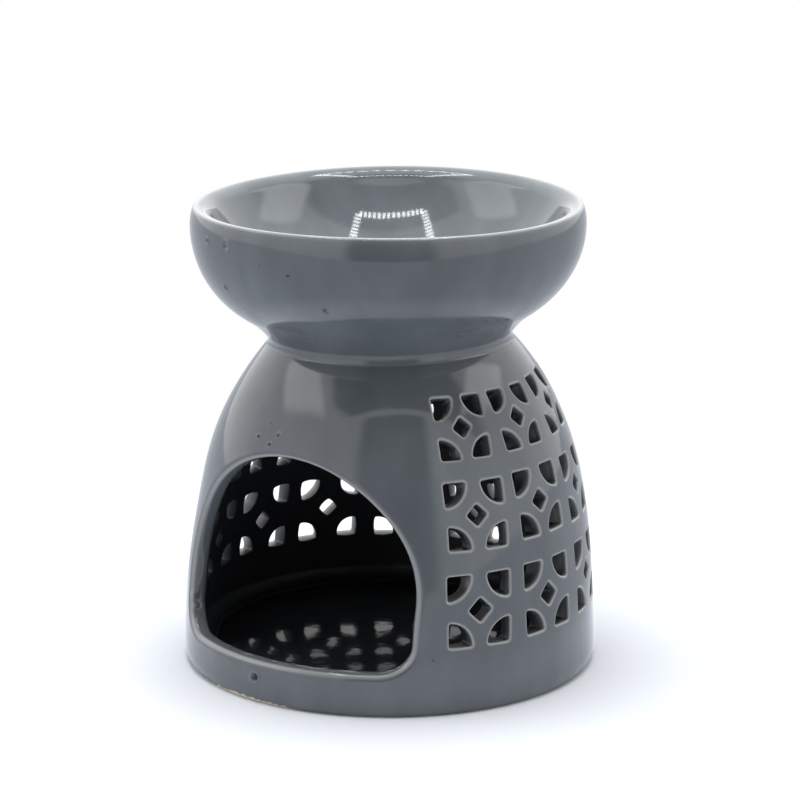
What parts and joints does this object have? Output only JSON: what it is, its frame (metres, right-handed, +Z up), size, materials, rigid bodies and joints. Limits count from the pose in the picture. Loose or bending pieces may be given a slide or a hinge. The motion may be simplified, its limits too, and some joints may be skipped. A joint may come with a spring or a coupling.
{
  "type": "essential oil burner",
  "caption": "Glazed ceramic oil burner: a pierced dome with an arched candle opening carries a fixed open bowl that warms oil and water over a tealight.",
  "frame": {"origin": "middle of the foot, on the surface that the burner stands on", "axes": "+Z up along the axis of the dome and bowl; the arched candle opening faces -Y"},
  "size_m": [0.11, 0.11, 0.1236],
  "materials": {
    "grey_glaze": "glossy grey glaze, pooled a little darker in hollows and broken paler on edges"
  },
  "bodies": {
    "root": {"pierced_dome": "grey_glaze", "oil_bowl": "grey_glaze", "chamber_floor": "grey_glaze", "neck_luting_ring": "grey_glaze", "floor_luting_ring": "grey_glaze"}
  },
  "joints": []
}
